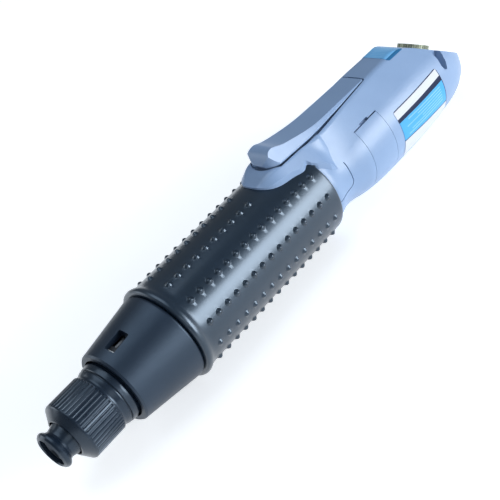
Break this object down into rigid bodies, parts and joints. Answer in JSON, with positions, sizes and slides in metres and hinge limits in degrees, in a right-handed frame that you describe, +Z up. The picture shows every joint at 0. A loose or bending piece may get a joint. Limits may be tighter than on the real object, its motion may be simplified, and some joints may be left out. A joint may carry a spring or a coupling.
{
  "type": "electric torque screwdriver",
  "caption": "Straight electric torque screwdriver with a fluted torque nut, quick-change hex bit socket, dotted rubber grip, long start lever and wrap-round brush cover.",
  "frame": {"origin": "centre of the bit collar's mouth, on the spindle axis", "axes": "+X out of the bit socket, +Z up through the start lever, +Y towards the side with the large label"},
  "size_m": [0.2436, 0.0408, 0.0497],
  "materials": {
    "black_plastic": "satin black moulded plastic",
    "black_rubber": "glossy black rubber with domed dots",
    "blue_plastic": "pale grey-blue moulded plastic, fine satin",
    "steel": "machined steel",
    "dark_steel": "blackened steel",
    "bronze": "sintered bronze",
    "brass": "turned brass",
    "white_plastic": "white line",
    "grey_plastic": "glass filled plastic",
    "magnet": "ferrite",
    "copper": "enamelled copper",
    "carbon": "carbon",
    "board": "green circuit board",
    "socket_metal": "knurled plated metal",
    "label_face": "printed film: white, navy and light blue bands, no lettering",
    "top_label_face": "light blue printed film, no lettering"
  },
  "bodies": {
    "root": {"front_bush": "bronze", "nose_housing": "black_plastic", "clutch_spring": "dark_steel", "clutch_plate": "steel", "clutch_balls": "steel", "ring_gear": "steel", "spindle_bearing": "steel", "motor_can": "steel", "motor_bushes": "bronze", "field_magnets": "magnet", "motor_end_cap": "grey_plastic", "carbon_brushes": "carbon", "brush_springs": "steel", "brush_caps": "black_plastic", "inner_housing": "grey_plastic", "grip_sleeve": "black_rubber", "rear_shell_left": "blue_plastic", "rear_shell_right": "blue_plastic", "shell_screws": "steel", "brush_cover": "blue_plastic", "lever_pin": "steel", "lever_spring": "steel", "start_switch": "grey_plastic", "circuit_board": "board", "direction_switch": "grey_plastic", "socket_shell": "socket_metal", "socket_insert": "black_plastic", "rating_label": "label_face", "top_label": "top_label_face"},
    "adjuster": {"spring_seat": "grey_plastic", "torque_indicator": "white_plastic", "pusher_pins": "steel", "pressure_ring": "steel"},
    "torque_nut": {"torque_nut": "black_plastic"},
    "spindle": {"bit_holder": "dark_steel", "detent_balls": "steel", "retaining_ring": "steel", "collar_spring": "steel", "output_shaft": "steel", "bearing_inner_race": "steel", "second_stage_pins": "steel"},
    "collar": {"bit_collar": "black_plastic"},
    "second_planet_a": {"second_planet_a": "steel"},
    "second_planet_b": {"second_planet_b": "steel"},
    "second_planet_c": {"second_planet_c": "steel"},
    "carrier_one": {"first_carrier": "steel", "first_stage_pins": "steel"},
    "first_planet_a": {"first_planet_a": "white_plastic"},
    "first_planet_b": {"first_planet_b": "white_plastic"},
    "first_planet_c": {"first_planet_c": "white_plastic"},
    "rotor": {"motor_pinion": "steel", "motor_shaft": "steel", "rotor_core": "dark_steel", "rotor_windings": "copper", "commutator": "copper"},
    "lever": {"start_lever": "blue_plastic"},
    "plunger": {"switch_plunger": "white_plastic"},
    "direction": {"direction_knob": "black_plastic"}
  },
  "joints": [
    {"name": "rotor_spin", "type": "hinge", "parent": "root", "child": "rotor", "pos_m": [-0.135, 0, 0], "axis": [1, 0, 0], "continuous": true},
    {"name": "carrier_one_spin", "type": "hinge", "parent": "root", "child": "carrier_one", "pos_m": [-0.0945, 0, 0], "axis": [1, 0, 0], "continuous": true},
    {"name": "spindle_spin", "type": "hinge", "parent": "root", "child": "spindle", "pos_m": [-0.05, 0, 0], "axis": [1, 0, 0], "continuous": true},
    {"name": "first_planet_a_spin", "type": "hinge", "parent": "carrier_one", "child": "first_planet_a", "pos_m": [-0.0995, 0.0081, 0], "axis": [1, 0, 0], "continuous": true},
    {"name": "second_planet_a_spin", "type": "hinge", "parent": "spindle", "child": "second_planet_a", "pos_m": [-0.0878, 0.0081, 0], "axis": [1, 0, 0], "continuous": true},
    {"name": "first_planet_b_spin", "type": "hinge", "parent": "carrier_one", "child": "first_planet_b", "pos_m": [-0.0995, -0.00405, 0.00701], "axis": [1, 0, 0], "continuous": true},
    {"name": "second_planet_b_spin", "type": "hinge", "parent": "spindle", "child": "second_planet_b", "pos_m": [-0.0878, -0.00405, 0.00701], "axis": [1, 0, 0], "continuous": true},
    {"name": "first_planet_c_spin", "type": "hinge", "parent": "carrier_one", "child": "first_planet_c", "pos_m": [-0.0995, -0.00405, -0.00701], "axis": [1, 0, 0], "continuous": true},
    {"name": "second_planet_c_spin", "type": "hinge", "parent": "spindle", "child": "second_planet_c", "pos_m": [-0.0878, -0.00405, -0.00701], "axis": [1, 0, 0], "continuous": true},
    {"name": "collar_slide", "type": "slide", "parent": "spindle", "child": "collar", "axis": [-1, 0, 0], "range_m": [0, 0.003], "stiffness_N_per_m": 400, "springref_m": -0.004, "deforming": ["collar_spring"]},
    {"name": "torque_travel", "type": "slide", "parent": "root", "child": "adjuster", "axis": [-1, 0, 0], "range_m": [0, 0.005], "deforming": ["clutch_spring"]},
    {"name": "torque_turn", "type": "hinge", "parent": "adjuster", "child": "torque_nut", "pos_m": [-0.02, 0, 0], "axis": [1, 0, 0], "range_deg": [0, 1440]},
    {"name": "lever_press", "type": "hinge", "parent": "root", "child": "lever", "pos_m": [-0.186, 0, 0.0186], "axis": [0, 1, 0], "range_deg": [0, 2.4], "stiffness_Nm_per_rad": 0.4, "springref_deg": -8.59, "deforming": ["lever_spring"]},
    {"name": "plunger_travel", "type": "slide", "parent": "root", "child": "plunger", "axis": [0, 0, -1], "range_m": [0, 0.0015]},
    {"name": "direction_slide", "type": "slide", "parent": "root", "child": "direction", "axis": [-1, 0, 0], "range_m": [0, 0.004]}
  ],
  "couplings": [
    {"joint": "carrier_one_spin", "follows": "rotor_spin", "ratio": 0.22222},
    {"joint": "spindle_spin", "follows": "rotor_spin", "ratio": 0.049383},
    {"joint": "first_planet_a_spin", "follows": "rotor_spin", "ratio": -0.62222},
    {"joint": "second_planet_a_spin", "follows": "rotor_spin", "ratio": -0.13827},
    {"joint": "first_planet_b_spin", "follows": "rotor_spin", "ratio": -0.62222},
    {"joint": "second_planet_b_spin", "follows": "rotor_spin", "ratio": -0.13827},
    {"joint": "first_planet_c_spin", "follows": "rotor_spin", "ratio": -0.62222},
    {"joint": "second_planet_c_spin", "follows": "rotor_spin", "ratio": -0.13827},
    {"joint": "torque_turn", "follows": "torque_travel", "rad_per_m": 5026.5},
    {"joint": "plunger_travel", "follows": "lever_press", "m_per_rad": 0.035}
  ]
}
